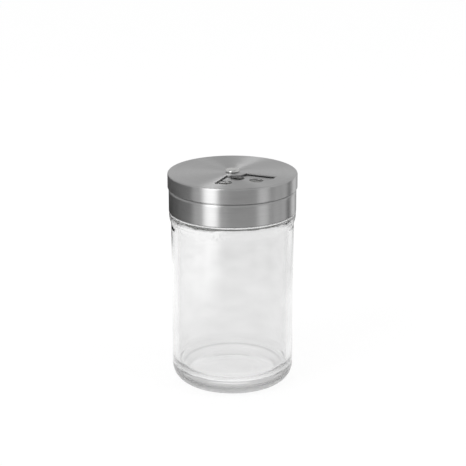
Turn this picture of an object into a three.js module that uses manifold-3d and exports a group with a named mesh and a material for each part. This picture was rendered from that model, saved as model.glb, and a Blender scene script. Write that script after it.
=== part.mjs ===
// Glass spice jar with a screw-on steel shaker lid and a turning dial.
// Millimetres, +Z up. The origin is the centre of the ring that the jar stands on.
// The front of the jar faces -Y. Angles round the axis are counted from the front towards +X.

import * as THREE from 'three';
import { mergeVertices } from 'three/addons/utils/BufferGeometryUtils.js';
import Module from 'manifold-3d';

const wasm = await Module();
wasm.setup();

// Fits between the pieces
const clearance = 0.3;
const threadPlay = 0.4;
const overrun = 1;

// Steel sheet of the dial and the shaker cap
const sheet = 0.45;

// Dial
const dialRadius = 25;
const dialDepth = 5.8;
const dialCorner = 0.7;
const windowInnerRadius = 5.9;
const windowOuterRadius = 18.4;
const windowCorner = 0.5;
const windowSweep = THREE.MathUtils.degToRad(89);
const dialTurn = THREE.MathUtils.degToRad(22.5);

// Shaker cap
const capCorner = 1.2;
const skirtStep = 0.35;
const curlRadius = 0.8;
const curlWidth = 1.7;
const plateTurn = THREE.MathUtils.degToRad(15);

// The plate has four settings a quarter turn apart: round holes, fine holes, a pour opening and a blank
const settingAngle = Math.PI / 2;

// Three round holes of the first setting
const holeRadius = 2.65;
const holeRingRadius = 13.4;
const holeSpread = THREE.MathUtils.degToRad(54);
const innerHoleRingRadius = 7.4;

// Fine holes of the second setting, in rings that each hold one hole more
const fineHoleRadius = 0.8;
const fineHoleSpacing = 4.6;
const fineFirstRing = 8;
const fineRingStep = 3.5;
const fineRingCount = 3;
const fineHolesInFirstRing = 2;

// Pour opening of the third setting
const pourInnerRadius = 6.6;
const pourOuterRadius = 17;
const pourCorner = 1.5;
const pourSweep = THREE.MathUtils.degToRad(66);

// Threaded insert and seal liner
const insertWall = 1.6;
const flangeThickness = 1.2;
const flangeWidth = 5;
const linerThickness = 1;
const linerWidth = 3.6;

// Thread, right-handed, the same on the neck and in the insert
const threadRadius = 1;
const threadPitch = 4;
const neckThreadTurns = 1.25;
const insertThreadTurns = 1;
const threadTopBelowRim = 2;
const threadFadeShare = 0.12;
const threadSinkShare = 0.8;

// Rivet and washers
const rivetHeadRadius = 2.8;
const rivetHeadHeight = 1.1;
const rivetHeadEdge = 0.1;
const rivetDomeSlope = THREE.MathUtils.degToRad(18);
const rivetShankRadius = 1.5;
const rivetTailRadius = 2.6;
const rivetTailThickness = 0.5;
const springThickness = 0.3;
const springDish = 0.35;
const springRadius = 4.2;
const washerThickness = 0.4;
const washerRadius = 4.4;

// Glass jar
const bodyInset = 0.75;
const bodyWall = 2.3;
const bodyHeight = 64.4;
const beadHeight = 4.45;
const beadInset = 0.1;
const beadCorner = 0.9;
const beadBlend = 1.5;
const neckHeight = 11.1;
const neckWall = 2.2;
const neckFillet = 1;
const rimCorner = 0.7;
const heelRadius = 6.4;
const standWidth = 2.6;
const pushUp = 0.3;
const floorHeight = 5;
const floorFillet = 5.5;
const shoulderWall = 1.2;
const mouthFilletShare = 0.4;

// How finely round shapes are drawn
const roundSides = 48;
const smallSides = 24;
const holeSides = 16;
const fineHoleSides = 10;
const arcSteps = 4;
const blendSteps = 5;
const threadSides = 8;
const threadStepsPerTurn = 36;
const mergeDistance = 1e-4;

// Radii worked out from the dial inwards: the lid and the jar line up, so they keep each other's width
const dialBore = dialRadius - sheet;
const capRadius = dialBore - clearance;
const capBore = capRadius - sheet;
const skirtRadius = capRadius + skirtStep;
const skirtBore = skirtRadius - sheet;
const insertRadius = capBore - clearance;
const insertBore = insertRadius - insertWall;
const neckRadius = insertBore - threadPlay - threadRadius;
const neckBore = neckRadius - neckWall;
const beadRadius = skirtRadius - beadInset;
const bodyRadius = beadRadius - bodyInset;
const bodyBore = bodyRadius - bodyWall;
const pivotBore = rivetShankRadius + clearance;

// Heights on the jar, counted from the table
const beadTop = bodyHeight + beadHeight;
const rimHeight = beadTop + neckHeight;

// Heights in the lid, counted from the jar's rim
const linerBottom = clearance;
const linerTop = linerBottom + linerThickness;
const flangeBottom = linerTop + clearance;
const flangeTop = flangeBottom + flangeThickness;
const plateBottom = flangeTop + clearance;
const plateTop = plateBottom + sheet;
const dialUnderside = plateTop + clearance;
const dialTop = dialUnderside + sheet;
const dialEdge = dialTop - dialDepth;
const skirtTop = dialEdge - clearance;
const skirtBottom = clearance - neckHeight;
const insertBottom = skirtBottom + sheet + clearance;
const springTop = plateBottom - clearance;
const springBottom = springTop - springDish - springThickness;
const washerTop = springBottom - clearance;
const washerBottom = washerTop - washerThickness;
const tailTop = washerBottom - clearance;
const tailBottom = tailTop - rivetTailThickness;
const headBottom = dialTop + clearance;

// Solids from three.js geometry

function solid(geometry) {
  geometry.deleteAttribute('normal');
  geometry.deleteAttribute('uv');
  const merged = mergeVertices(geometry, mergeDistance);
  const corners = merged.index.array;
  const faces = [];
  for (let i = 0; i < corners.length; i += 3) {
    const [a, b, c] = corners.slice(i, i + 3);
    if (a !== b && b !== c && c !== a) faces.push(a, b, c);
  }
  const vertProperties = new Float32Array(merged.attributes.position.array);
  return new wasm.Manifold(new wasm.Mesh({ numProp: 3, vertProperties, triVerts: new Uint32Array(faces) }));
}

function geometryOf(manifold) {
  const { vertProperties, triVerts } = manifold.getMesh();
  const geometry = new THREE.BufferGeometry();
  geometry.setAttribute('position', new THREE.BufferAttribute(vertProperties, 3));
  geometry.setIndex(new THREE.BufferAttribute(triVerts, 1));
  geometry.computeVertexNormals();
  return geometry;
}

// A profile is a list of [radius, height] points with the material on its left
function turned(profile, sides) {
  const points = profile.map(([radius, height]) => new THREE.Vector2(radius, height));
  return solid(new THREE.LatheGeometry(points, sides).rotateX(Math.PI / 2));
}

// A ring's profile closes on its first point
function turnedRing(profile, sides) {
  return turned([...profile, profile[0]], sides);
}

function arc(centreRadius, centreHeight, radius, startDegrees, endDegrees) {
  return Array.from({ length: arcSteps + 1 }, (_, i) => {
    const angle = THREE.MathUtils.degToRad(startDegrees + ((endDegrees - startDegrees) * i) / arcSteps);
    return [centreRadius + radius * Math.cos(angle), centreHeight + radius * Math.sin(angle)];
  });
}

// A smooth S from one radius to another
function blend([startRadius, startHeight], [endRadius, endHeight]) {
  return Array.from({ length: blendSteps + 1 }, (_, i) => {
    const share = i / blendSteps;
    const eased = (1 - Math.cos(Math.PI * share)) / 2;
    return [
      THREE.MathUtils.lerp(startRadius, endRadius, eased),
      THREE.MathUtils.lerp(startHeight, endHeight, share),
    ];
  });
}

function polar(radius, angle) {
  return [radius * Math.sin(angle), -radius * Math.cos(angle)];
}

// A round cutter through a sheet whose faces are at two heights
function drill([x, y], radius, low, high, sides) {
  const height = high - low + 2 * overrun;
  const cylinder = new THREE.CylinderGeometry(radius, radius, height, sides).rotateX(Math.PI / 2);
  return solid(cylinder.translate(x, y, (low + high) / 2));
}

// A cutter shaped like a slice of a ring with rounded corners, centred on an angle from the front
function sectorCutter({ inner, outer, corner, sweep, centre }, low, high) {
  const middle = centre - Math.PI / 2;
  const outerInset = Math.asin(corner / (outer - corner));
  const innerInset = Math.asin(corner / (inner + corner));
  const [start, end] = [middle - sweep / 2, middle + sweep / 2];
  const place = (radius, angle) => [radius * Math.cos(angle), radius * Math.sin(angle)];
  const shape = new THREE.Shape();
  shape.absarc(0, 0, outer, start + outerInset, end - outerInset, false);
  shape.absarc(...place(outer - corner, end - outerInset), corner, end - outerInset, end + Math.PI / 2, false);
  shape.absarc(
    ...place(inner + corner, end - innerInset), corner, end + Math.PI / 2, end - innerInset + Math.PI, false,
  );
  shape.absarc(0, 0, inner, end - innerInset, start + innerInset, true);
  shape.absarc(
    ...place(inner + corner, start + innerInset), corner, start + innerInset - Math.PI, start - Math.PI / 2, false,
  );
  shape.absarc(...place(outer - corner, start + outerInset), corner, start - Math.PI / 2, start + outerInset, false);
  const depth = high - low + 2 * overrun;
  const geometry = new THREE.ExtrudeGeometry(shape, { depth, bevelEnabled: false, curveSegments: arcSteps });
  return solid(geometry.translate(0, 0, low - overrun));
}

// A helix that sinks into its wall at both ends
class ThreadPath extends THREE.Curve {
  constructor({ wall, sink, bottom, turns, startTurn }) {
    super();
    Object.assign(this, { wall, sink, bottom, turns, startTurn });
  }

  getPoint(t, target = new THREE.Vector3()) {
    const turn = this.startTurn + this.turns * t;
    const angle = 2 * Math.PI * turn;
    const fade = Math.min(1, t / threadFadeShare, (1 - t) / threadFadeShare);
    const radius = this.wall + this.sink * (1 - fade);
    return target.set(radius * Math.cos(angle), radius * Math.sin(angle), this.bottom + threadPitch * turn);
  }
}

function threadRidge(path) {
  const section = Array.from({ length: threadSides }, (_, i) => {
    const angle = (2 * Math.PI * i) / threadSides;
    return new THREE.Vector2(threadRadius * Math.cos(angle), threadRadius * Math.sin(angle));
  });
  const steps = Math.ceil(threadStepsPerTurn * path.turns);
  const options = { steps, bevelEnabled: false, extrudePath: path };
  return solid(new THREE.ExtrudeGeometry(new THREE.Shape(section), options));
}

// Glass jar

function jarOutside() {
  const standRadius = bodyRadius - heelRadius;
  const recessRadius = standRadius - standWidth;
  const recess = Array.from({ length: arcSteps }, (_, i) => {
    const share = i / arcSteps;
    return [recessRadius * share, pushUp * (1 - share ** 2)];
  });
  return turned([
    ...recess,
    [recessRadius, 0],
    ...arc(standRadius, heelRadius, heelRadius, -90, 0),
    ...blend([bodyRadius, bodyHeight], [beadRadius, bodyHeight + beadBlend]),
    ...arc(beadRadius - beadCorner, beadTop - beadCorner, beadCorner, 0, 90),
    ...arc(neckRadius + neckFillet, beadTop + neckFillet, neckFillet, 270, 180),
    ...arc(neckRadius - rimCorner, rimHeight - rimCorner, rimCorner, 0, 90),
    [0, rimHeight],
  ], roundSides);
}

// The bore narrows to the mouth under the bead, in a hollow curve and then a rounded edge
function jarInside() {
  const mouthFillet = mouthFilletShare * (bodyBore - neckBore);
  const shoulderFillet = bodyBore - neckBore - mouthFillet;
  const shoulderHeight = beadTop - shoulderWall;
  return turned([
    [0, floorHeight],
    ...arc(bodyBore - floorFillet, floorHeight + floorFillet, floorFillet, -90, 0),
    ...arc(bodyBore - shoulderFillet, shoulderHeight - shoulderFillet, shoulderFillet, 0, 90),
    ...arc(neckBore + mouthFillet, shoulderHeight + mouthFillet, mouthFillet, 270, 180),
    ...arc(neckBore + rimCorner, rimHeight - rimCorner, rimCorner, 180, 90),
    [neckBore + rimCorner, rimHeight + overrun],
    [0, rimHeight + overrun],
  ], roundSides);
}

function jar() {
  const thread = threadRidge(new ThreadPath({
    wall: neckRadius,
    sink: -threadSinkShare * threadRadius,
    bottom: rimHeight - threadTopBelowRim - threadPitch * neckThreadTurns,
    turns: neckThreadTurns,
    startTurn: 0,
  }));
  return jarOutside().add(thread).subtract(jarInside());
}

// Lid pieces, measured from the jar's rim

function sealLiner() {
  const outer = insertBore - clearance;
  const inner = outer - linerWidth;
  return turnedRing([
    [inner, linerBottom],
    [outer, linerBottom],
    [outer, linerTop],
    [inner, linerTop],
  ], roundSides);
}

function threadInsert() {
  const flangeBore = insertRadius - flangeWidth;
  const ring = turnedRing([
    [insertBore, insertBottom],
    [insertRadius, insertBottom],
    [insertRadius, flangeTop],
    [flangeBore, flangeTop],
    [flangeBore, flangeBottom],
    [insertBore, flangeBottom],
  ], roundSides);
  const thread = threadRidge(new ThreadPath({
    wall: insertBore,
    sink: threadSinkShare * threadRadius,
    bottom: -threadTopBelowRim - threadPitch * (neckThreadTurns + 1 / 2),
    turns: insertThreadTurns,
    startTurn: neckThreadTurns - insertThreadTurns,
  }));
  const envelope = turned([
    [0, insertBottom],
    [insertRadius, insertBottom],
    [insertRadius, flangeTop],
    [0, flangeTop],
  ], roundSides);
  return ring.add(thread).intersect(envelope);
}

function plateHoles() {
  const holes = [
    [polar(holeRingRadius, -holeSpread / 2), holeRadius, holeSides],
    [polar(innerHoleRingRadius, 0), holeRadius, holeSides],
    [polar(holeRingRadius, holeSpread / 2), holeRadius, holeSides],
  ];
  for (let row = 0; row < fineRingCount; row += 1) {
    const ring = fineFirstRing + fineRingStep * row;
    const count = fineHolesInFirstRing + row;
    for (let i = 0; i < count; i += 1) {
      const angle = settingAngle + (fineHoleSpacing / ring) * (i - (count - 1) / 2);
      holes.push([polar(ring, angle), fineHoleRadius, fineHoleSides]);
    }
  }
  holes.push([[0, 0], pivotBore, smallSides]);
  return holes;
}

function shakerCap() {
  const shell = turned([
    [0, plateBottom],
    ...arc(capBore - capCorner + sheet, plateBottom - capCorner + sheet, capCorner - sheet, 90, 0),
    [capBore, skirtTop - sheet],
    [skirtBore, skirtTop - sheet],
    ...arc(skirtRadius - curlRadius, skirtBottom + curlRadius, curlRadius - sheet, 0, -90),
    [skirtRadius - curlWidth, skirtBottom + sheet],
    [skirtRadius - curlWidth, skirtBottom],
    ...arc(skirtRadius - curlRadius, skirtBottom + curlRadius, curlRadius, -90, 0),
    ...arc(capRadius, skirtTop - skirtStep, skirtStep, 0, 90),
    ...arc(capRadius - capCorner, plateTop - capCorner, capCorner, 0, 90),
    [0, plateTop],
  ], roundSides);
  const pour = sectorCutter({
    inner: pourInnerRadius,
    outer: pourOuterRadius,
    corner: pourCorner,
    sweep: pourSweep,
    centre: 2 * settingAngle,
  }, plateBottom, plateTop);
  return plateHoles().reduce(
    (cut, [place, radius, sides]) => cut.subtract(drill(place, radius, plateBottom, plateTop, sides)),
    shell.subtract(pour),
  );
}

function dialCap() {
  const shell = turned([
    [0, dialUnderside],
    ...arc(dialRadius - dialCorner, dialTop - dialCorner, dialCorner - sheet, 90, 0),
    [dialBore, dialEdge],
    [dialRadius, dialEdge],
    ...arc(dialRadius - dialCorner, dialTop - dialCorner, dialCorner, 0, 90),
    [0, dialTop],
  ], roundSides);
  const window = sectorCutter({
    inner: windowInnerRadius,
    outer: windowOuterRadius,
    corner: windowCorner,
    sweep: windowSweep,
    centre: 0,
  }, dialUnderside, dialTop);
  return shell.subtract(window).subtract(drill([0, 0], pivotBore, dialUnderside, dialTop, smallSides));
}

// The head has a short edge, a rounded shoulder and a shallow dome that goes on from it without a crease
function rivet() {
  const rise = Math.tan(rivetDomeSlope / 2);
  const shoulder = (rivetHeadHeight - rivetHeadEdge - rivetHeadRadius * rise) / (1 - rise);
  const shoulderPlace = rivetHeadRadius - shoulder;
  const domeRadius = shoulder + shoulderPlace / Math.sin(rivetDomeSlope);
  const domeCentre = headBottom + rivetHeadHeight - domeRadius;
  const domeStart = 90 - THREE.MathUtils.radToDeg(rivetDomeSlope);
  return turned([
    [0, tailBottom],
    [rivetTailRadius, tailBottom],
    [rivetTailRadius, tailTop],
    [rivetShankRadius, tailTop],
    [rivetShankRadius, headBottom],
    [rivetHeadRadius, headBottom],
    ...arc(shoulderPlace, headBottom + rivetHeadEdge, shoulder, 0, domeStart),
    ...arc(0, domeCentre, domeRadius, domeStart, 90),
  ], smallSides);
}

function springWasher() {
  return turnedRing([
    [pivotBore, springTop - springThickness],
    [springRadius, springBottom],
    [springRadius, springBottom + springThickness],
    [pivotBore, springTop],
  ], smallSides);
}

function backingWasher() {
  return turnedRing([
    [pivotBore, washerBottom],
    [washerRadius, washerBottom],
    [washerRadius, washerTop],
    [pivotBore, washerTop],
  ], smallSides);
}

// Finishes
const glass = new THREE.MeshStandardMaterial({
  color: 0xf2f5f4, roughness: 0.03, metalness: 0, transparent: true, opacity: 0.35,
});
const brushedSteel = new THREE.MeshStandardMaterial({ color: 0xa3a3a1, roughness: 0.35, metalness: 1 });
const brightSteel = new THREE.MeshStandardMaterial({ color: 0xd0d0ce, roughness: 0.15, metalness: 1 });
const springSteel = new THREE.MeshStandardMaterial({ color: 0x8d8d8a, roughness: 0.4, metalness: 1 });
const whitePlastic = new THREE.MeshStandardMaterial({ color: 0xe9e9e4, roughness: 0.5, metalness: 0 });
const clearSilicone = new THREE.MeshStandardMaterial({ color: 0xdfe2e0, roughness: 0.6, metalness: 0 });

function piece(name, manifold, material) {
  const mesh = new THREE.Mesh(geometryOf(manifold), material);
  mesh.name = name;
  return mesh;
}

// The scene graph: the lid stands on the jar's rim, and its dial and plate are turned to their settings
const spiceJar = new THREE.Group();
const lid = new THREE.Group();
lid.position.z = rimHeight;

const plate = piece('shaker_cap', shakerCap(), brushedSteel);
plate.rotation.z = plateTurn;

const dial = piece('dial_cap', dialCap(), brushedSteel);
dial.rotation.z = dialTurn;

lid.add(
  piece('seal_liner', sealLiner(), clearSilicone),
  piece('thread_insert', threadInsert(), whitePlastic),
  plate,
  dial,
  piece('rivet', rivet(), brightSteel),
  piece('spring_washer', springWasher(), springSteel),
  piece('backing_washer', backingWasher(), brightSteel),
);
spiceJar.add(piece('jar', jar(), glass), lid);

export default spiceJar;
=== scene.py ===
# %% [markdown]
# # A glass spice jar with a steel shaker lid
# The jar is pressed glass. Its lid is stamped from brushed stainless steel, and a dial turns on the lid and
# uncovers one of its settings: three round holes, a field of fine holes or a pouring slot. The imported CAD
# model gives every piece its place and its motion. This lesson makes a smooth piece over each CAD solid,
# gives each its finish, and then builds the studio.

import math

import bmesh
import bpy
from mathutils import Matrix, Vector


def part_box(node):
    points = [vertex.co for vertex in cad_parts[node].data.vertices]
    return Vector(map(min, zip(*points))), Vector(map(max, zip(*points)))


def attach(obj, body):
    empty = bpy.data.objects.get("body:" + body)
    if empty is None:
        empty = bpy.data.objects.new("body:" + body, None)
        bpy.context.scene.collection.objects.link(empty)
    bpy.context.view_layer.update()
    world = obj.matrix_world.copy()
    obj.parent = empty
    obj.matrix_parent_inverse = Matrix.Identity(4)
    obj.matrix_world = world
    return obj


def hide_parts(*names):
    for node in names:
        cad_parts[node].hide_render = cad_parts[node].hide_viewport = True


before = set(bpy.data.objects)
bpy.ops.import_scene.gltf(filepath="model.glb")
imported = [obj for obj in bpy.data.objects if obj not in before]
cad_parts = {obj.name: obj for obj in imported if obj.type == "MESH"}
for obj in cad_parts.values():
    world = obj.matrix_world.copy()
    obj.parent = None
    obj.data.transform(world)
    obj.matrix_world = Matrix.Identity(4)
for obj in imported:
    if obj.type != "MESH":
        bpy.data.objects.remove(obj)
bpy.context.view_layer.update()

# %% [markdown]
# ## One outline, turned round an axis
# Every piece of this jar is round, so each can be made as on a potter's wheel or a lathe: half of its cross
# section is drawn as a wire and spun once round the axis. The wire needs only the corners that a
# draughtsman would write down. Each corner carries a rounding, and the bevel operator, which also works on
# the vertices of a wire, turns it into a smooth curve. That keeps the numbers few and the curves true. The
# roundings of two neighbouring corners fit on the line between them, because the wire would otherwise fold
# back on itself.

# %% A half outline from its corners
mm = 0.001


def half_outline(corners, closed, segments=8):
    """A wire in the X-Z plane. Each corner is its radius, its height and its rounding, in millimetres."""
    wire = bmesh.new()
    verts = [wire.verts.new((radius * mm, 0, height * mm)) for radius, height, _ in corners]
    for start, end in zip(verts, verts[1:]):
        wire.edges.new((start, end))
    if closed:
        wire.edges.new((verts[-1], verts[0]))
    for vert, (_, _, rounding) in zip(verts, corners):
        if rounding:
            bmesh.ops.bevel(
                wire, geom=[vert], offset=rounding * mm, offset_type="OFFSET", segments=segments,
                profile=0.5, affect="VERTICES", clamp_overlap=False, material=-1,
            )
    return wire


print("an outline's millimetre is", mm, "m in the scene")

# %% [markdown]
# ## From the wire to a round shape
# The spin makes one full turn and merges its last ring with its first. Points on the axis come out once for
# every step, so doubles are merged too, and then the normals are turned outwards. A Screw modifier could
# turn the wire as well, but the next steps need the points themselves.

# %% Spinning a wire
full_turn = 2 * math.pi
weld_distance = 0.001 * mm


def spin_round(wire, sides):
    """Spins a wire once round the axis and closes its seam and poles."""
    bmesh.ops.spin(
        wire, geom=wire.verts[:] + wire.edges[:], cent=(0, 0, 0), axis=(0, 0, 1),
        angle=full_turn, steps=sides, use_merge=True, use_duplicate=False,
    )
    bmesh.ops.remove_doubles(wire, verts=wire.verts, dist=weld_distance)
    bmesh.ops.recalc_face_normals(wire, faces=wire.faces)
    return wire


print("points closer than", weld_distance / mm, "mm become one")

# %% [markdown]
# ## From the shape to a finished piece
# Smooth shading would also round real edges, so edges with a sharp angle are marked. Large flat faces
# beside a small rounding would look bent, because a vertex normal is an average: the Weighted Normal
# modifier lets the flat face win.

# %% Finishing a shape and measuring it
crease = math.radians(38)


def finished(name, shape):
    """Turns a bmesh into an object with smooth faces, marked edges and steady flat faces."""
    for face in shape.faces:
        face.smooth = True
    for edge in shape.edges:
        edge.smooth = edge.calc_face_angle(0) < crease
    mesh = bpy.data.meshes.new(name)
    shape.to_mesh(mesh)
    shape.free()
    piece = bpy.data.objects.new(name, mesh)
    bpy.context.scene.collection.objects.link(piece)
    normals = piece.modifiers.new("flat faces stay flat", "WEIGHTED_NORMAL")
    normals.keep_sharp = True
    return piece


def report(piece):
    """Prints how large a piece came out, to compare it with the CAD solid."""
    heights = [vert.co.z / mm for vert in piece.data.vertices]
    reach = max(math.hypot(vert.co.x, vert.co.y) for vert in piece.data.vertices) / mm
    print(f"{piece.name}: radius {reach:.2f} mm, from {min(heights):.2f} to {max(heights):.2f} mm high, "
          f"{len(piece.data.polygons)} faces")


print("edges stay crisp from", round(math.degrees(crease)), "degrees")

# %% [markdown]
# ## The screw thread
# A thread is a ridge that climbs as it goes round. It could be a separate coil, but a coil that dips into
# the wall leaves a hidden skin inside the glass, which bends light twice. Here the wall itself is pushed
# out: it is cut into fine rows first, and each point moves by how close it lies to the climbing line. The
# ridge fades in and out at its ends, as it does where a mould opens.

# %% Rows for the thread
thread_rows = 44
wall_slack = 0.01


def fine_rows(wire, radius, low, high):
    """Cuts the upright stretch of the wire at this radius, between two heights, into rows."""
    def on_wall(vert):
        return abs(vert.co.x - radius * mm) < wall_slack * mm and low * mm < vert.co.z < high * mm

    upright = [edge for edge in wire.edges if all(map(on_wall, edge.verts)) and edge.calc_length() > mm]
    bmesh.ops.subdivide_edges(wire, edges=upright, cuts=thread_rows)


print("rows on a threaded wall:", thread_rows)

# %% Raising the thread
thread_pitch = 4
thread_height = 1
thread_half_width = 1.15
thread_fade = 0.12
thread_sharpness = 1.3
thread_slack = 0.02
most_laps = 3


def thread_rise(height, angle, bottom, first_turn, turns):
    """How far the thread stands out at a height and an angle, in millimetres."""
    rise = 0
    for lap in range(most_laps):
        turn = angle / full_turn + lap
        share = (turn - first_turn) / turns
        offset = height - bottom - thread_pitch * turn
        if 0 < share < 1 and abs(offset) < thread_half_width:
            fade = min(1, share / thread_fade, (1 - share) / thread_fade)
            ease = fade * fade * (3 - 2 * fade)
            crest = math.cos(offset / thread_half_width * math.pi / 2) ** thread_sharpness
            rise = max(rise, ease * thread_height * crest)
    return rise


def raise_thread(shape, radius, direction, bottom, first_turn, turns):
    """Pushes the wall at this radius outwards (1) or inwards (-1) along a right-handed helix."""
    moved = 0
    for vert in shape.verts:
        reach = math.hypot(vert.co.x, vert.co.y)
        if abs(reach - radius * mm) > thread_slack * mm:
            continue
        angle = math.atan2(vert.co.y, vert.co.x) % full_turn
        rise = thread_rise(vert.co.z / mm, angle, bottom, first_turn, turns)
        if rise:
            grown = 1 + direction * rise * mm / reach
            vert.co.x *= grown
            vert.co.y *= grown
            moved += 1
    print("thread points moved:", moved)


# %% [markdown]
# ## The glass jar
# The jar has a straight body, a heavy rounded heel on a narrow standing ring, a shallow hollow under the
# foot, and a bead that closes the gap below the lid. Inside, the floor curves up into the wall, and the
# wall turns in under the bead towards the narrower mouth. Outside and inside are one outline, drawn from
# the middle of the underside up to the rim and down to the middle of the floor, so the glass is one closed
# solid: the renderer needs both skins to bend light as real glass does. All curves are fine, because glass
# shows every facet.

# %% The jar's sizes
body_radius = 23.75
body_wall = 2.3
body_bore = body_radius - body_wall
bead_radius = 24.5
bead_start = 64.5
bead_full = 66.45
bead_top = 68.85
neck_radius = 20.5
neck_bore = 18.3
rim = 79.95
shoulder = 67.9
floor_height = 5
stand_inner = 14.75
hollow_height = 0.3
glass_sides = 160
print(f"glass between wall and bore: {body_wall} mm, in the neck {neck_radius - neck_bore:.1f} mm")

# %% The jar's outline and its turn
jar_outline = half_outline([
    (0, hollow_height, 0),
    (stand_inner / 2, hollow_height, 6.9),
    (stand_inner, 0, 0.4),
    (body_radius, 0, 6.4),
    (body_radius, bead_start, 1),
    (bead_radius, bead_full, 1),
    (bead_radius, bead_top, 0.4),
    (neck_radius, bead_top, 1),
    (neck_radius, rim, 0.7),
    (neck_bore, rim, 0.7),
    (neck_bore, shoulder, 1.26),
    (body_bore, shoulder, 1.89),
    (body_bore, floor_height, 5.5),
    (0, floor_height, 0),
], closed=False, segments=16)
fine_rows(jar_outline, neck_radius, bead_top + 0.9, rim - 0.6)
jar_shape = spin_round(jar_outline, glass_sides)
raise_thread(jar_shape, neck_radius, 1, bottom=rim - 7, first_turn=0, turns=1.25)

# %% [markdown]
# ## The uneven bend inside the shoulder
# No plunger reaches behind the narrower neck, so the bend inside the shoulder is blown and touches no tool.
# It is never quite even, and light that passes through it breaks into short dark and bright strokes under
# the lid. A displacement over the whole jar would also spoil its clean outside. Here only the points of the
# bend move up and down, by three waves round the jar that fade out above and below it.

# %% Waves round the bend
bend_waves = ((3, 5.34, 0.7), (8, 2, 0.4), (17, 0, 0.3))
bend_lift = 0.25
bend_middle = shoulder - 0.35
bend_reach = 2.15
bend_slack = 0.05
lifted = 0
for vert in jar_shape.verts:
    reach, height = math.hypot(vert.co.x, vert.co.y) / mm, vert.co.z / mm
    from_middle = height - bend_middle
    if neck_bore - bend_slack < reach < body_bore + bend_slack and abs(from_middle) < bend_reach:
        angle = math.atan2(vert.co.y, vert.co.x)
        swell = sum(size * math.sin(count * angle + start) for count, start, size in bend_waves)
        fade = math.cos(from_middle / bend_reach * math.pi / 2) ** 2
        vert.co.z += bend_lift * swell * fade * mm
        lifted += 1
print("points of the bend moved:", lifted)
glass_jar = finished("glass_jar", jar_shape)
report(glass_jar)

# %% [markdown]
# ## The soft ring and the threaded insert
# The steel shell can't hold a thread by itself, so such a lid has a moulded plastic ring inside it with the
# thread, and a soft ring against the jar's rim. Both are hidden in the photograph and are shaped as such
# lids have them. Each is a closed outline, so it needs no end caps.

# %% The seal ring
seal_bore, seal_radius = 18, 21.6
seal_bottom, seal_top = 80.25, 81.25
seal_sides = 96
soft_ring = finished("soft_ring", spin_round(half_outline([
    (seal_bore, seal_bottom, 0.3),
    (seal_radius, seal_bottom, 0.3),
    (seal_radius, seal_top, 0.3),
    (seal_bore, seal_top, 0.3),
], closed=True, segments=6), seal_sides))
report(soft_ring)

# %% The threaded insert
insert_bore, insert_radius = 21.9, 23.5
insert_bottom, insert_top = 69.9, 82.75
ledge_bore, ledge_bottom = 18.5, 81.55
insert_sides = 128
insert_outline = half_outline([
    (insert_bore, insert_bottom, 0.35),
    (insert_radius, insert_bottom, 0.2),
    (insert_radius, insert_top, 0.2),
    (ledge_bore, insert_top, 0.3),
    (ledge_bore, ledge_bottom, 0.3),
    (insert_bore, ledge_bottom, 0.3),
], closed=True, segments=5)
fine_rows(insert_outline, insert_bore, insert_bottom + 0.2, ledge_bottom - 0.15)
insert_shape = spin_round(insert_outline, insert_sides)
raise_thread(insert_shape, insert_bore, -1, bottom=rim - 9, first_turn=0.25, turns=1)
plastic_insert = finished("plastic_insert", insert_shape)
report(plastic_insert)

# %% [markdown]
# ## Punches for sheet steel
# The holes and slots are punched through the sheet. A punch has a solid shape, so each is made as one:
# round punches from a cylinder, and the slots from an upright rectangle that is spun through part of a
# turn, like a slice of a ring, with its four upright corners bevelled.

# %% A round punch
def front_angle(degrees):
    """An angle counted from the front of the jar towards +X, as an angle from the X axis."""
    return math.radians(degrees - 90)


def round_punch(punches, radius, ring, degrees, low, high, sides=48):
    """Adds a round punch on a ring about the axis."""
    angle = front_angle(degrees)
    place = Vector((ring * math.cos(angle), ring * math.sin(angle), (low + high) / 2)) * mm
    bmesh.ops.create_cone(
        punches, cap_ends=True, segments=sides, radius1=radius * mm, radius2=radius * mm,
        depth=(high - low) * mm, matrix=Matrix.Translation(place),
    )


print("the front of the jar lies at", round(math.degrees(front_angle(0))), "degrees from X")

# %% A punch like a slice of a ring
slice_steps = 36
corner_angle = math.radians(60)


def is_upright_corner(edge):
    """Whether an edge runs up one of the four corners of the slice."""
    rise = abs(edge.verts[0].co.z - edge.verts[1].co.z)
    return rise > mm / 2 and edge.calc_face_angle(0) > corner_angle


def slice_punch(punches, inner, outer, corner, sweep, degrees, low, high):
    """Adds a punch like a slice of a ring with rounded corners, centred on an angle from the front."""
    part = bmesh.new()
    turn = Matrix.Rotation(front_angle(degrees - sweep / 2), 4, "Z")
    corners = [(inner, low), (outer, low), (outer, high), (inner, high)]
    verts = [part.verts.new(turn @ Vector((radius, 0, height)) * mm) for radius, height in corners]
    face = part.faces.new(verts)
    bmesh.ops.spin(
        part, geom=part.verts[:] + part.edges[:] + [face], cent=(0, 0, 0), axis=(0, 0, 1),
        angle=math.radians(sweep), steps=slice_steps, use_merge=False, use_duplicate=False,
    )
    bmesh.ops.bevel(
        part, geom=list(filter(is_upright_corner, part.edges)), offset=corner * mm, offset_type="OFFSET",
        segments=8, profile=0.5, affect="EDGES", clamp_overlap=False, material=-1,
    )
    bmesh.ops.recalc_face_normals(part, faces=part.faces)
    mesh = bpy.data.meshes.new("slice")
    part.to_mesh(mesh)
    part.free()
    punches.from_mesh(mesh)
    bpy.data.meshes.remove(mesh)


print("steps of a slice:", slice_steps)

# %% [markdown]
# ## Cutting the openings
# All punches of a piece go through it at once, with the exact Boolean, and the result is kept as the
# piece's mesh. Knife cuts would need every crossing point worked out by hand. The count of open edges shows
# whether the sheet is still closed afterwards.

# %% Punching a sheet
def scratch(name, shape):
    """An object for the time of the cut."""
    mesh = bpy.data.meshes.new(name)
    shape.to_mesh(mesh)
    shape.free()
    item = bpy.data.objects.new(name, mesh)
    bpy.context.scene.collection.objects.link(item)
    return item


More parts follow.
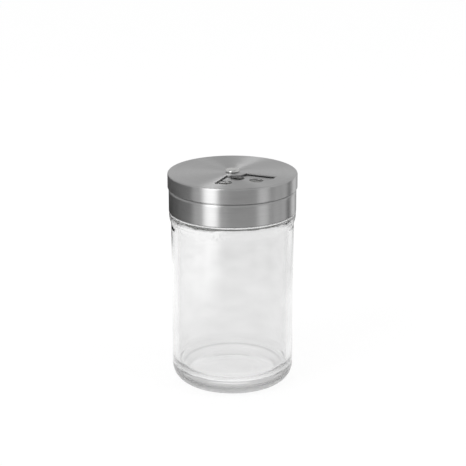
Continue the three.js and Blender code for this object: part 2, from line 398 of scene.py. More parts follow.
def punched(name, sheet_shape, punches):
    """Cuts the punches out of a sheet and returns the finished piece."""
    sheet_object, tool = scratch("sheet", sheet_shape), scratch("punches", punches)
    cut = sheet_object.modifiers.new("punch", "BOOLEAN")
    cut.operation, cut.solver, cut.object = "DIFFERENCE", "EXACT", tool
    bpy.context.view_layer.update()
    cut_sheet = sheet_object.evaluated_get(bpy.context.evaluated_depsgraph_get())
    shape = bmesh.new()
    shape.from_mesh(bpy.data.meshes.new_from_object(cut_sheet))
    for item in (sheet_object, tool):
        bpy.data.objects.remove(item)
    bmesh.ops.remove_doubles(shape, verts=shape.verts, dist=weld_distance)
    open_edges = sum(not edge.is_manifold for edge in shape.edges)
    print(f"{name}: open edges after punching {open_edges}")
    return finished(name, shape)


# %% [markdown]
# ## The shaker cap
# The cap is one drawn cup of sheet steel. Its flat plate carries the holes. The skirt steps out below the
# dial over a short slope and ends in an edge that is rolled inwards, which makes it stiff and safe to hold.
# The wall stands a little back under the dial, and this recess draws the dark line between dial and skirt.
# The outline follows both faces of the sheet, from the hole in the middle of the plate round the skirt and
# back.

# %% The cap's sheet
sheet = 0.45
plate_bottom = 83.05
plate_top = plate_bottom + sheet
pivot_bore = 1.8
recess_radius, recess_bottom = 24.02, 77.85
wall_bore = 23.65
skirt_bore, skirt_radius = 24.15, 24.6
skirt_bottom = 69.15
slope_bottom, slope_top, slope_radius = 77.2, 77.8, 24.22
inner_slope_bottom, inner_slope_top = 77.3, 77.5
roll_bore, roll_top = 22.9, skirt_bottom + sheet
steel_sides = 144
cap_sheet = spin_round(half_outline([
    (pivot_bore, plate_bottom, 0.08),
    (wall_bore, plate_bottom, 0.75),
    (wall_bore, inner_slope_top, 0.15),
    (skirt_bore, inner_slope_bottom, 0.15),
    (skirt_bore, roll_top, 0.2),
    (roll_bore, roll_top, 0.2),
    (roll_bore, skirt_bottom, 0.2),
    (skirt_radius, skirt_bottom, 0.15),
    (skirt_radius, slope_bottom, 0.35),
    (slope_radius, slope_top, 0.08),
    (recess_radius, recess_bottom, 0.05),
    (recess_radius, plate_top, 1.2),
    (pivot_bore, plate_top, 0.08),
], closed=True, segments=8), steel_sides)
print("faces of the cap before punching:", len(cap_sheet.faces))

# %% [markdown]
# ## The plate's settings
# The plate has four settings, a quarter turn apart: three round holes, nine fine holes in rows, a pouring
# slot, and a blank quarter that closes the jar. The plate is turned so that the round holes show in the
# dial's window.

# %% The round holes
plate_turn = 15
quarter = 90
punch_low, punch_high = plate_bottom - 1, plate_top + 1
plate_punches = bmesh.new()
hole_radius = 2.65
hole_places = ((13.4, -27), (7.4, 0), (13.4, 27))
for ring, degrees in hole_places:
    round_punch(plate_punches, hole_radius, ring, plate_turn + degrees, punch_low, punch_high)
print("round holes:", len(hole_places))

# %% The fine holes
fine_radius = 0.8
fine_gap = 4.6
row_gap = 3.5
first_row = 8
fine_counts = (2, 3, 4)
for row, count in enumerate(fine_counts):
    ring = first_row + row_gap * row
    for place in range(count):
        degrees = plate_turn + quarter + math.degrees(fine_gap / ring) * (place - (count - 1) / 2)
        round_punch(plate_punches, fine_radius, ring, degrees, punch_low, punch_high, sides=24)
print("fine holes:", sum(fine_counts))

# %% The pouring slot and the finished cap
slot_inner, slot_outer, slot_corner, slot_sweep = 6.6, 17, 1.5, 66
slot_middle = plate_turn + 2 * quarter
slice_punch(
    plate_punches, slot_inner, slot_outer, slot_corner, slot_sweep, slot_middle, punch_low, punch_high,
)
steel_cap = punched("steel_cap", cap_sheet, plate_punches)
report(steel_cap)

# %% [markdown]
# ## The dial
# The dial is a shallow cup that sits over the cap and turns on the rivet. Its window is as wide as one
# setting. The window's far edge is what draws the thin dark line in the photograph: there the eye sees the
# thickness of the sheet and the gap under it, and painted shade on the punched edge darkens it.

# %% The dial and its window
dial_underside = 83.8
dial_top = dial_underside + sheet
dial_radius, dial_bottom = 25, 78.45
dial_bore = dial_radius - sheet
window_inner, window_outer, window_corner = 5.9, 18.4, 0.5
window_sweep, window_middle = 89, 22.5
dial_sheet = spin_round(half_outline([
    (pivot_bore, dial_underside, 0.08),
    (dial_bore, dial_underside, 0.85),
    (dial_bore, dial_bottom, 0.12),
    (dial_radius, dial_bottom, 0.15),
    (dial_radius, dial_top, 0.7),
    (pivot_bore, dial_top, 0.08),
], closed=True, segments=8), steel_sides)
dial_punches = bmesh.new()
slice_punch(
    dial_punches, window_inner, window_outer, window_corner, window_sweep, window_middle,
    dial_underside - 1, dial_top + 1,
)
steel_dial = punched("steel_dial", dial_sheet, dial_punches)
report(steel_dial)

# %% [markdown]
# ## The rivet and its washers
# A bright rivet is the dial's axle. Under the plate its tail is spread over a flat washer, and a dished
# washer keeps a light pressure on the plate, so that the dial stays where it is put. The head has a short
# edge, a rounded shoulder and a shallow dome.

# %% The rivet
shank_radius = 1.5
tail_radius, tail_bottom, tail_top = 2.6, 80.6, 81.1
head_radius, head_bottom, head_top = 2.8, 84.55, 85.65
edge_top, dome_radius = 85.13, 1.2
small_sides = 64
bright_rivet = finished("bright_rivet", spin_round(half_outline([
    (0, tail_bottom, 0),
    (tail_radius, tail_bottom, 0.25),
    (tail_radius, tail_top, 0.15),
    (shank_radius, tail_top, 0.1),
    (shank_radius, head_bottom, 0.1),
    (head_radius, head_bottom, 0.08),
    (head_radius, edge_top, 0.48),
    (dome_radius, head_top, 1.19),
    (0, head_top, 0),
], closed=False, segments=8), small_sides))
report(bright_rivet)

# %% The dished washer and the flat washer
dish_radius, dish_edge, dish_middle, dish_sheet = 4.2, 82.1, 82.45, 0.3
dished_washer = finished("dished_washer", spin_round(half_outline([
    (pivot_bore, dish_middle, 0.08),
    (dish_radius, dish_edge, 0.1),
    (dish_radius, dish_edge + dish_sheet, 0.1),
    (pivot_bore, dish_middle + dish_sheet, 0.08),
], closed=True, segments=4), small_sides))
flat_radius, flat_bottom, flat_top = 4.4, 81.4, 81.8
flat_washer = finished("flat_washer", spin_round(half_outline([
    (pivot_bore, flat_bottom, 0.08),
    (flat_radius, flat_bottom, 0.12),
    (flat_radius, flat_top, 0.12),
    (pivot_bore, flat_top, 0.08),
], closed=True, segments=4), small_sides))
for piece in (dished_washer, flat_washer):
    report(piece)

# %% [markdown]
# ## A small kit for materials
# A material is a graph of nodes. One helper starts a material with the main shader's fixed values on its
# own sockets, another adds a node and links or fills its inputs, and the rest are short names for the nodes
# that these finishes use again and again. Patterns read Object coordinates, so they stay on the piece when
# the lid turns. Noise seldom leaves the middle of its range, so it is stretched from there.

# %% Materials and nodes
def new_material(name, **values):
    """A material with the given values on its Principled shader."""
    material = bpy.data.materials.new(name)
    material.use_nodes = True
    shader = material.node_tree.nodes["Principled BSDF"]
    for socket, value in values.items():
        shader.inputs[socket.replace("_", " ")].default_value = value
    return material, material.node_tree, shader


def node(tree, kind, inputs=None, **settings):
    """Adds a node, sets its fields, and links or fills its inputs."""
    made = tree.nodes.new("ShaderNode" + kind)
    for field, value in settings.items():
        setattr(made, field, value)
    for socket, value in (inputs or {}).items():
        if isinstance(value, bpy.types.NodeSocket):
            tree.links.new(value, made.inputs[socket])
        else:
            made.inputs[socket].default_value = value
    return made


print("materials before the first finish:", len(bpy.data.materials))

# %% Arithmetic and colours
def calc(tree, operation, *values):
    """One step of arithmetic."""
    return node(tree, "Math", dict(enumerate(values)), operation=operation).outputs[0]


def to_range(tree, value, low, high, from_low=0.0, from_high=1.0):
    """Maps a value from one range to another and holds it there."""
    made = node(tree, "MapRange", {0: value, 1: from_low, 2: from_high, 3: low, 4: high}, clamp=True)
    return made.outputs[0]


def blend(tree, share, first, second):
    """A number between two others."""
    return node(tree, "Mix", {0: share, 2: first, 3: second}, data_type="FLOAT").outputs[0]


def shades(tree, share, dark, light):
    """A colour between two shades, of which the first may come from another node."""
    dark = dark if isinstance(dark, bpy.types.NodeSocket) else (*dark, 1)
    return node(tree, "Mix", {0: share, 6: dark, 7: (*light, 1)}, data_type="RGBA").outputs[2]


def darker(shade, share):
    """The same shade with a share of its light."""
    return [share * part for part in shade]


print("half the light of a grey of 0.8:", darker((0.8, 0.8, 0.8), 0.5))

# %% Places, patterns and relief
def object_place(tree):
    """The place on the piece."""
    return node(tree, "TexCoord").outputs["Object"]


def axis_part(tree, vector, axis):
    """One of the three parts of a vector: 0, 1 or 2 for X, Y or Z."""
    return node(tree, "SeparateXYZ", {0: vector}).outputs[axis]


usual_noise = (0.3, 0.7)


def clouds(tree, place, scale, detail, roughness=0.5):
    """Soft noise."""
    values = {"Vector": place, "Scale": scale, "Detail": detail, "Roughness": roughness}
    return node(tree, "TexNoise", values).outputs[0]


def relief(tree, height, strength, depth, under=None):
    """A bump with a depth in millimetres, on top of another one where that is given."""
    values = {"Height": height, "Strength": strength, "Distance": depth * mm}
    if under:
        values["Normal"] = under
    return node(tree, "Bump", values).outputs[0]


print("a relief of 1 is", 1 * mm, "m deep")

# %% [markdown]
# ## Coordinates for brushed steel
# The sheet was brushed while it turned, so fine grooves run in circles round the axis, on the top as well
# as on the sides. Grooves spread a reflection across them: that is why the sides show upright bands of
# light and the top shows a streak through the middle. The grooves are a noise that changes quickly with
# radius and height and slowly along the circle, so the material first needs the radius and the direction
# from the axis.

# %% Coordinates round the axis
def round_the_axis(tree):
    """The place, its radius and height, and its direction from the axis, from Object coordinates."""
    place = object_place(tree)
    parts = node(tree, "SeparateXYZ", {0: place})
    flat = node(tree, "CombineXYZ", {0: parts.outputs[0], 1: parts.outputs[1]}).outputs[0]
    return {
        "place": place,
        "flat": flat,
        "radius": node(tree, "VectorMath", {0: flat}, operation="LENGTH").outputs["Value"],
        "height": parts.outputs[2],
        "direction": node(tree, "VectorMath", {0: flat}, operation="NORMALIZE").outputs["Vector"],
    }


# %% Grooves
def grooves(tree, axis, along, across, detail):
    """Noise in fine rings: along is how often it changes round a circle, across how often per metre."""
    slow = node(tree, "VectorMath", {0: axis["direction"], "Scale": along}, operation="SCALE")
    parts = node(tree, "SeparateXYZ", {0: slow.outputs["Vector"]}).outputs
    fine_height = calc(tree, "MULTIPLY", axis["height"], across)
    fine_radius = calc(tree, "MULTIPLY", axis["radius"], across)
    where = node(tree, "CombineXYZ", {0: parts[0], 1: parts[1], 2: fine_height}).outputs[0]
    values = {"Vector": where, "W": fine_radius, "Scale": 1.0, "Detail": detail, "Roughness": 0.6}
    return node(tree, "TexNoise", values, noise_dimensions="4D").outputs[0]


# %% [markdown]
# ## Raw edges with painted shade
# A brush doesn't reach the punched edges of the sheet or the roll under the skirt, and little light does.
# Their colour is raw, unbrushed metal with painted shade: a dark base colour that draws the window, the
# holes and the lid's lower line. The edges could be a material of their own, but both sheets keep one, so
# the shader finds them: a punched edge is upright and lies well inside the rim, and the roll is the lowest
# part of the lid. The plate's edges lie under the dial and get less painted shade.

# %% Where the edges are raw and painted darker
painted_edge_shade = (0.32, 0.32, 0.32)
plate_edge_shade_share = 0.35
inside_rim = (0.0225, 0.0235)
plate_to_dial = (0.0836, 0.0838)
over_roll = (0.0693, 0.06955)
steep_to_flat = (0.2, 0.5)


def raw_and_shaded_edges(tree, axis):
    """Where shade is painted: 1 on punched edges and on the roll under the skirt, and 0 on brushed faces."""
    facing_up = axis_part(tree, node(tree, "TexCoord").outputs["Normal"], 2)
    upright = to_range(tree, calc(tree, "ABSOLUTE", facing_up), 1, 0, *steep_to_flat)
    punched_edge = calc(tree, "MULTIPLY", upright, to_range(tree, axis["radius"], 1, 0, *inside_rim))
    in_dial = to_range(tree, axis["height"], plate_edge_shade_share, 1, *plate_to_dial)
    roll = to_range(tree, axis["height"], 1, 0, *over_roll)
    return calc(tree, "MAXIMUM", calc(tree, "MULTIPLY", punched_edge, in_dial), roll)


print("raw edges get the shade", painted_edge_shade)

# %% [markdown]
# ## The brushed finish
# An anisotropic shader spreads reflections across the circles when its tangent follows them. Three kinds of
# grooves lie over each other: hair lines, broad bands, and short strokes where the brush bit unevenly. A
# slow mottling of the gloss stands for hands that have touched the lid.

# %% Brushed stainless steel
line_gloss, touch_gloss = (0.28, 0.36), (0.28, 0.34)


def brushed_steel(name, shade):
    """Stainless steel brushed in circles."""
    material, tree, shader = new_material(name, Metallic=1.0, Anisotropic=0.97, Anisotropic_Rotation=0.25)
    axis = round_the_axis(tree)
    lines = grooves(tree, axis, along=5, across=5200, detail=2)
    bands = grooves(tree, axis, along=2, across=900, detail=3)
    strokes = grooves(tree, axis, along=45, across=700, detail=1)
    touch = clouds(tree, axis["place"], 70.0, 4.0, 0.55)
    both = blend(tree, 0.5, lines, bands)
    tone = shades(tree, to_range(tree, both, 0, 1, *usual_noise), darker(shade, 0.88), shade)
    # the tone darkens to painted shade on the punched edges and on the roll under the skirt
    tone = shades(tree, raw_and_shaded_edges(tree, axis), tone, painted_edge_shade)
    brushed_gloss = to_range(tree, both, *line_gloss, *usual_noise)
    touched_gloss = to_range(tree, touch, *touch_gloss, 0.35, 0.65)
    quarter_turn = {"Vector": axis["flat"], "Angle": math.pi / 2}
    circle = node(tree, "VectorRotate", quarter_turn, rotation_type="Z_AXIS").outputs[0]
    tangent = node(tree, "VectorTransform", {0: circle}, vector_type="VECTOR",
                   convert_from="OBJECT", convert_to="WORLD").outputs[0]
    tree.links.new(tone, shader.inputs["Base Color"])
    tree.links.new(blend(tree, 0.5, brushed_gloss, touched_gloss), shader.inputs["Roughness"])
    tree.links.new(tangent, shader.inputs["Tangent"])
    unsteady = relief(tree, strokes, 0.5, 0.006)
    tree.links.new(relief(tree, lines, 0.5, 0.004, unsteady), shader.inputs["Normal"])
    return material


steel_finish = brushed_steel("brushed stainless steel", (0.63, 0.63, 0.63))
print("brushed steel nodes:", len(steel_finish.node_tree.nodes))

# %% [markdown]
# ## Bright steel and spring steel
# The rivet was tumbled until it shone, so it mirrors the studio, with faint scratches in all directions.
# The washers are plain rolled strip, a little darker and duller. One recipe serves both, with other
# numbers.

# %% The smooth steels
def smooth_steel(name, shade, low, high, scratch_depth):
    """Steel with a polish between two roughness values and faint scratches."""
    material, tree, shader = new_material(name, Metallic=1.0)
    place = object_place(tree)
    cloud = clouds(tree, place, 900.0, 5.0, 0.6)
    drawn = node(tree, "Mapping", {"Vector": place, "Scale": (9000, 500, 2500), "Rotation": (0, 0, 0.6)})
    scratches = clouds(tree, drawn.outputs[0], 1.0, 2.0)
    tree.links.new(shades(tree, cloud, darker(shade, 0.92), shade), shader.inputs["Base Color"])
    tree.links.new(to_range(tree, cloud, low, high, *usual_noise), shader.inputs["Roughness"])
    tree.links.new(relief(tree, scratches, 0.4, scratch_depth), shader.inputs["Normal"])
    return material


rivet_finish = smooth_steel("bright steel", (0.8, 0.8, 0.79), 0.14, 0.24, 0.002)
spring_finish = smooth_steel("spring steel", (0.55, 0.55, 0.54), 0.28, 0.42, 0.004)
print("smooth steels:", rivet_finish.name, "and", spring_finish.name)

# %% [markdown]
# ## Plastic and silicone
# The insert is moulded plastic with the fine grain of its mould, a little glossier where the tool was worn.
# The seal is milky silicone, softer in its gloss and with a finer grain. Both are hidden until the lid
# comes off, so one recipe with two sets of numbers is enough.

# %% The moulded finishes
def moulded(name, shade, low, high, grain, grain_depth):
    """A moulded material with a fine grain and uneven gloss."""
    material, tree, shader = new_material(name)
    place = object_place(tree)
    pattern = clouds(tree, place, grain, 4.0)
    cloud = clouds(tree, place, 60.0, 3.0)
    tree.links.new(shades(tree, cloud, darker(shade, 0.95), shade), shader.inputs["Base Color"])
    tree.links.new(to_range(tree, cloud, low, high, *usual_noise), shader.inputs["Roughness"])
    tree.links.new(relief(tree, pattern, 0.5, grain_depth), shader.inputs["Normal"])
    return material


plastic_finish = moulded("moulded white plastic", (0.86, 0.86, 0.83), 0.38, 0.52, 3000.0, 0.01)
silicone_finish = moulded("milky silicone", (0.8, 0.82, 0.81), 0.5, 0.65, 5000.0, 0.006)
print("moulded:", plastic_finish.name, "and", silicone_finish.name)

# %% [markdown]
# ## Pressed glass
# Clear glass has hardly any colour of its own. What makes it look real is its shape, its refraction and the
# slight unevenness that pressing and blowing leave: soft dents all over, and long waves that run up the
# wall. They are two bumps, one with a pattern that is stretched along the height.

# %% The glass and its waves
clear_shade = (0.9, 0.9, 0.9)
glass_finish, glass_tree, glass_shader = new_material(
    "clear pressed glass", Base_Color=(*clear_shade, 1), IOR=1.5, Transmission_Weight=1.0,
)
glass_axis = round_the_axis(glass_tree)
glass_place = glass_axis["place"]
stretched = node(glass_tree, "Mapping", {"Vector": glass_place, "Scale": (85, 85, 14)}).outputs[0]
dents = relief(glass_tree, clouds(glass_tree, glass_place, 55.0, 0.0), 0.6, 0.15)
waves = relief(glass_tree, clouds(glass_tree, stretched, 1.0, 1.5), 0.6, 0.12, dents)
print("the glass bends light by", glass_shader.inputs["IOR"].default_value)

# %% [markdown]
# ## Where the mould chilled the glass
# At the foot and at the bead the hot glass met cold iron first. Its skin froze there with a fine mottle,
# and the foot is a little hazy, which spreads what it mirrors into soft grey crescents. Both places are
# found by height and radius. A trace of roughness elsewhere keeps highlights from being needle sharp.

# %% The mottle and the haze
foot_height, foot_radius = (0.003, 0.007), (0.0165, 0.018)
bead_height = (0.062, 0.064)
film_haze, foot_haze = 0.03, 0.48
at_foot = calc(
    glass_tree, "MULTIPLY", to_range(glass_tree, glass_axis["height"], 1, 0, *foot_height),
    to_range(glass_tree, glass_axis["radius"], 0, 1, *foot_radius),
)
chilled = calc(glass_tree, "MAXIMUM", at_foot, to_range(glass_tree, glass_axis["height"], 0, 1, *bead_height))
mottle = calc(glass_tree, "MULTIPLY", clouds(glass_tree, glass_place, 260.0, 2.0), chilled)
glass_tree.links.new(relief(glass_tree, mottle, 0.6, 0.3, waves), glass_shader.inputs["Normal"])
film = to_range(glass_tree, clouds(glass_tree, glass_place, 45.0, 3.0), 0.0, film_haze, 0.45, 0.75)
haze = calc(glass_tree, "ADD", film, to_range(glass_tree, at_foot, 0, foot_haze))
glass_tree.links.new(haze, glass_shader.inputs["Roughness"])
print("glass nodes so far:", len(glass_tree.nodes))

# %% [markdown]
# ## The painted shadow ring on the floor
# A thin grey ring runs round the corner of the floor and shows only at the back. It is painted shade: the
# table's shadow close behind the jar, as the glass shows it. It could be a groove, but a groove so fine
# needs a far denser mesh, so it is painted as a darker line in the colour, kept to the back half.

# %% The painted shadow ring
mark_radius, mark_width = 19.4, (0.15, 0.5)
ring_shadow_shade = (0.64, 0.64, 0.64)
mark_bottom, mark_top, mark_front = (0.0045, 0.005), (0.0075, 0.009), (-0.006, 0.004)
from_ring = calc(glass_tree, "ABSOLUTE", calc(glass_tree, "SUBTRACT", glass_axis["radius"], mark_radius * mm))
painted_ring_shadow = to_range(glass_tree, from_ring, 1, 0, mark_width[0] * mm, mark_width[1] * mm)
for limit in (
    to_range(glass_tree, glass_axis["height"], 1, 0, *mark_top),
    to_range(glass_tree, glass_axis["height"], 0, 1, *mark_bottom),
    to_range(glass_tree, axis_part(glass_tree, glass_place, 1), 0, 1, *mark_front),
):
    painted_ring_shadow = calc(glass_tree, "MULTIPLY", painted_ring_shadow, limit)
# painted shade in the glass colour: the table's shadow behind the jar
glass_colour = shades(glass_tree, painted_ring_shadow, clear_shade, ring_shadow_shade)
glass_tree.links.new(glass_colour, glass_shader.inputs["Base Color"])
print("glass nodes:", len(glass_tree.nodes))

# %% [markdown]
# ## Every piece takes its finish and its place in the frame
# Each piece stands for a CAD node, rides on the body that this node belongs to, and names the material slot
# of the record. The lid's pieces turn with the lid, and the dial turns on its own.

# %% The table of pieces
pieces = [
    (glass_jar, glass_finish, "jar", "jar", "glass"),
    (soft_ring, silicone_finish, "seal", "seal_liner", "liner"),
    (plastic_insert, plastic_finish, "lid", "thread_insert", "insert_plastic"),
    (steel_cap, steel_finish, "lid", "shaker_cap", "brushed_steel"),
    (steel_dial, steel_finish, "dial", "dial_cap", "brushed_steel"),
    (bright_rivet, rivet_finish, "lid", "rivet", "bright_steel"),
    (dished_washer, spring_finish, "lid", "spring_washer", "spring_steel"),
    (flat_washer, rivet_finish, "lid", "backing_washer", "bright_steel"),
]
for piece, finish, body, cad_node, slot in pieces:
    piece.data.materials.clear()
    piece.data.materials.append(finish)
    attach(piece, body)
    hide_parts(cad_node)
    low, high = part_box(cad_node)
    heights = [vert.co.z for vert in piece.data.vertices]
    tall = (max(heights) - min(heights)) / mm
    print(f"{piece.name} on {body}: {tall:.2f} mm high, its solid {(high.z - low.z) / mm:.2f} mm")

# %% [markdown]
# ## The light table
# The jar stands on a plain white table. An opal light table glows a little by itself, which keeps the white
# even, and it is also a pale diffuse surface, so the object's soft shadow stays on it. Both parts together
# come to plain white.

# %% The floor
table_size = 8
bpy.ops.mesh.primitive_plane_add(size=table_size, location=(0, 0, -0.05 * mm))
table = bpy.context.object
table.name = "light_table"
table_finish, table_tree, table_shader = new_material(
    "opal table", Base_Color=(0.15, 0.15, 0.15, 1), Roughness=0.9, Specular_IOR_Level=0.0,
    Emission_Color=(1, 1, 1, 1),
)
table.data.materials.append(table_finish)
print("table size in m:", round(table.dimensions.x, 1))

# %% [markdown]
# ## The table as the glass shows it
# Through the walls of the jar the eye sees the table behind it, and the photograph shows there a body that
# is brighter on the left and slightly cloudy. So, only for light that has passed through glass, the table's
# glow is painted dimmer, as shade behind the jar, with a painted pool of light far behind on the left and a
# soft painted unevenness of the light. Real glass also lets light through to the table under the jar. The
# renderer doesn't follow such bundled light well, so a small glow under the jar stands in for it.

# %% The table's glow
plain_glow = 0.9
painted_shade_glow, painted_light_glow = 0.84, 1.04
glow_unevenness = 0.045
glow_under_jar, under_jar_reach = 0.14, (0.016, 0.034)
patch_right, patch_near = (-0.017, -0.005), (0.04, 0.12)
table_place = object_place(table_tree)
table_parts = node(table_tree, "SeparateXYZ", {0: table_place})
# a painted pool of light far behind on the left, seen only through glass
patch = calc(
    table_tree, "MULTIPLY", to_range(table_tree, table_parts.outputs[0], 1, 0, *patch_right),
    to_range(table_tree, table_parts.outputs[1], 0, 1, *patch_near),
)
cloudiness = clouds(table_tree, table_place, 55.0, 1.0)
from_jar = node(table_tree, "VectorMath", {0: table_place}, operation="LENGTH").outputs["Value"]
# through glass the glow is dimmer, painted shade behind the jar, plus the painted pool of light and
# unevenness
through_glass = calc(
    table_tree, "ADD", to_range(table_tree, patch, painted_shade_glow, painted_light_glow),
    to_range(table_tree, cloudiness, -glow_unevenness, glow_unevenness, *usual_noise),
)
under_jar = to_range(table_tree, from_jar, glow_under_jar, 0, *under_jar_reach)
through_glass = calc(table_tree, "ADD", through_glass, under_jar)
seen_through = node(table_tree, "LightPath").outputs["Is Transmission Ray"]
table_glow = blend(table_tree, seen_through, plain_glow, through_glass)
table_tree.links.new(table_glow, table_shader.inputs["Emission Strength"])
print("table nodes:", len(table_tree.nodes))

# %% [markdown]
# ## The room's light
# The world is an even soft light. The camera sees it as a white backdrop, and so do the metal and the glass
# near the horizon. Higher up the backdrop ends and the studio is dimmer. The thick heel of the jar bends
# the eye's ray upwards to there, so it comes out grey, as in the photograph. As a light the world is
# weaker, so that with the lamps a colour comes out about as it is written.

# %% The world
world_light = 0.55
horizon_level, ceiling_level = 1.0, 0.6
backdrop_end = (0.1, 0.4)
world = bpy.data.worlds.new("white studio")
bpy.context.scene.world = world
world.use_nodes = True
sky = world.node_tree
light_path = node(sky, "LightPath").outputs
upwards = axis_part(sky, node(sky, "TexCoord").outputs["Generated"], 2)
studio = to_range(sky, upwards, horizon_level, ceiling_level, *backdrop_end)
mirrored = calc(sky, "MAXIMUM", light_path["Is Glossy Ray"], light_path["Is Transmission Ray"])
strength = blend(sky, mirrored, world_light, studio)
strength = blend(sky, light_path["Is Camera Ray"], strength, 1.0)
backdrop = sky.nodes["Background"]
backdrop.inputs["Color"].default_value = (1, 1, 1, 1)
sky.links.new(strength, backdrop.inputs["Strength"])
print("world nodes:", len(sky.nodes))

# %% [markdown]
# ## The light tent
# Shiny objects show their surroundings, so a photographer puts them in a tent: a cylinder of cloth with
# strip lights behind it and darker gaps between them. The brushed steel draws these out into the upright
# bands of the photograph. The tent is only for the reflections: the camera looks through it and it casts no
# shadow.

# %% The tent
tent_radius = 0.11
tent_height = 0.5
tent_shape = bmesh.new()
bmesh.ops.create_cone(
    tent_shape, cap_ends=False, segments=96, radius1=tent_radius, radius2=tent_radius, depth=tent_height,
    matrix=Matrix.Translation((0, 0, tent_height / 2)),
)
tent_mesh = bpy.data.meshes.new("light_tent")
tent_shape.to_mesh(tent_mesh)
tent_shape.free()
tent = bpy.data.objects.new("light_tent", tent_mesh)
bpy.context.scene.collection.objects.link(tent)
for sight in ("camera", "diffuse", "transmission", "volume_scatter", "shadow"):
    setattr(tent, "visible_" + sight, False)
print("tent height in m:", tent_height)

# %% [markdown]
# ## The tent's strip lights
# Each light is a soft patch about a compass direction, counted from the camera towards the right. It has a
# half width in degrees and a strength, and a patch below zero is a dark flag. At the height of the lid the
# cloth is dim and carries all the strips. Lower down, where only the glass mirrors it, the cloth is bright
# with two dark flags, and near the table it is plain white.

# %% Patches on the cloth
tent_finish = bpy.data.materials.new("tent cloth")
tent_finish.use_nodes = True
cloth = tent_finish.node_tree
cloth.nodes.remove(cloth.nodes["Principled BSDF"])
cloth_axis = round_the_axis(cloth)


def patch_of_light(degrees, half_width, strength):
    """A soft patch on the cloth about a direction counted from the front."""
    angle = front_angle(degrees)
    towards = (math.cos(angle), math.sin(angle), 0)
    facing = node(cloth, "VectorMath", {0: cloth_axis["direction"], 1: towards}, operation="DOT_PRODUCT")
    edge = math.cos(math.radians(half_width))
    return node(cloth, "MapRange", {0: facing.outputs["Value"], 1: edge, 2: 1.0, 3: 0.0, 4: strength},
                interpolation_type="SMOOTHSTEP").outputs[0]


print("the cloth is lit on its own, without a main shader")

# %% The strips at the height of the lid
strip_lights = (
    (-112, 50, -0.27), (-57, 14, 0.29), (-35, 16.5, 1.4), (-16, 12, 0.14), (50, 13, 0.4),
    (80, 12, 0.29), (96, 10, 0.45), (128, 14, 0.47), (140, 34, 0.3),
)
brightest_strip = -35
least_level = 0.02
at_lid = 0.09
strips = {}
for degrees, half_width, strength in strip_lights:
    strips[degrees] = patch_of_light(degrees, half_width, strength)
    at_lid = calc(cloth, "ADD", at_lid, strips[degrees])
at_lid = calc(cloth, "MAXIMUM", at_lid, least_level)
print("strips:", len(strips))

# %% The flags low down
dark_flags = ((118, 36, 0.7), (-105, 40, 0.65))
near_foot = 1.0
for degrees, half_width, strength in dark_flags:
    near_foot = calc(cloth, "SUBTRACT", near_foot, patch_of_light(degrees, half_width, strength))
print("cloth nodes so far:", len(cloth.nodes))

# %% [markdown]
# ## The tent from bottom to top
# The levels change with height. The flat top of the lid mirrors the cloth high up at the back. There the
# cloth is even, so that the top keeps one calm grey, and it darkens upwards. Only the brightest strip goes
# on.

# %% The cloth's levels put together
over_table, over_foot, over_lid = (0.0, 0.014), (0.014, 0.028), (0.065, 0.1)
calm_level, roof_level, roof_start = 0.565, 0.12, (0.2, 0.4)
height = cloth_axis["height"]
darkening = to_range(cloth, height, calm_level, roof_level, *roof_start)
high_up = calc(cloth, "ADD", strips[brightest_strip], darkening)
level = blend(cloth, to_range(cloth, height, 0, 1, *over_foot), near_foot, at_lid)
level = blend(cloth, to_range(cloth, height, 0, 1, *over_table), 1.0, level)
level = blend(cloth, to_range(cloth, height, 0, 1, *over_lid), level, high_up)
glow = node(cloth, "Emission", {"Strength": level})
cloth.links.new(glow.outputs[0], cloth.nodes["Material Output"].inputs["Surface"])
tent.data.materials.append(tent_finish)
print("cloth nodes:", len(cloth.nodes))

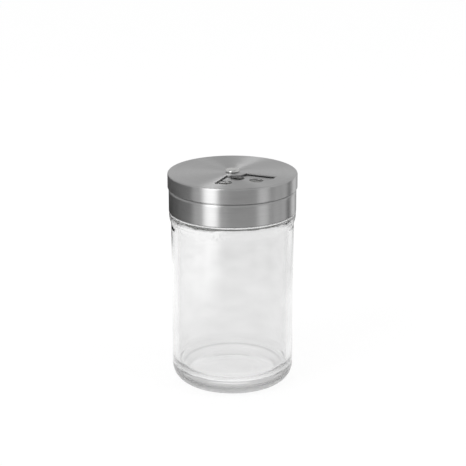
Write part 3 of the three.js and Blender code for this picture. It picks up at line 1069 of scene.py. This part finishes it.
# %% [markdown]
# ## The lamps
# Two large soft lamps light what isn't shiny: the plastic, the seal and the table. The main one stands to
# the left in front and the weaker one to the right. Two small ones behind the jar are there for what they
# leave on the metal: the one high up draws the streak across the brushed top, and the low one puts a bright
# dot on the rivet. Through the glass a lamp would show as a bright square, so three of them are hidden from
# light that has passed through glass. The lamp for the streak stands high above the jar and is left as it
# is.

# %% Four soft lamps
lamp_target = Vector((0, 0, 0.045))


def soft_lamp(name, place, size, power):
    """A square lamp that looks at the jar."""
    data = bpy.data.lights.new(name, "AREA")
    data.size, data.energy = size, power
    lamp = bpy.data.objects.new(name, data)
    bpy.context.scene.collection.objects.link(lamp)
    lamp.location = place
    lamp.rotation_euler = (lamp_target - Vector(place)).to_track_quat("-Z", "Y").to_euler()
    print(f"{name}: {power} W from {size} m")
    return lamp


soft_lamp("main lamp", (-0.9, -0.9, 1.1), 0.7, 6).visible_transmission = False
soft_lamp("fill lamp", (1.1, -0.5, 0.9), 0.7, 3).visible_transmission = False
soft_lamp("streak lamp", (-0.112, 0.36, 0.58), 0.06, 0.09)
soft_lamp("rivet lamp", (-0.08, 0.5, 0.2), 0.045, 0.024).visible_transmission = False

# %% [markdown]
# ## The camera
# The camera looks down at the jar from 19 degrees above the table, from the front. Its distance and lens
# were fitted to the ellipses of the rims and to the height of the jar in the picture.

# %% The camera
camera_rise = math.radians(19.09)
camera_tilt = math.radians(17.51)
camera_distance = 0.6
camera_side = 0.2 * mm
aim_height = 0.04217
camera_data = bpy.data.cameras.new("camera")
camera_data.sensor_width = 36
camera_data.lens = 118.18
camera = bpy.data.objects.new("camera", camera_data)
bpy.context.scene.collection.objects.link(camera)
camera.location = (
    camera_side,
    -camera_distance * math.cos(camera_rise),
    aim_height + camera_distance * math.sin(camera_rise),
)
camera.rotation_euler = (math.pi / 2 - camera_tilt, 0, 0)
bpy.context.scene.camera = camera
print("camera height in m:", round(camera.location.z, 3))

# %% [markdown]
# ## Colours as they are
# The Standard view shows each colour as the scene gives it. Light that enters thick glass bounces many
# times before it leaves, so more bounces are allowed: with few, the glass foot would turn black.

# %% View and light paths
most_bounces = 24
scene = bpy.context.scene
scene.view_settings.view_transform = "Standard"
for kind in ("max", "glossy", "transmission"):
    setattr(scene.cycles, kind + "_bounces", most_bounces)
print("bounces allowed:", scene.cycles.max_bounces)
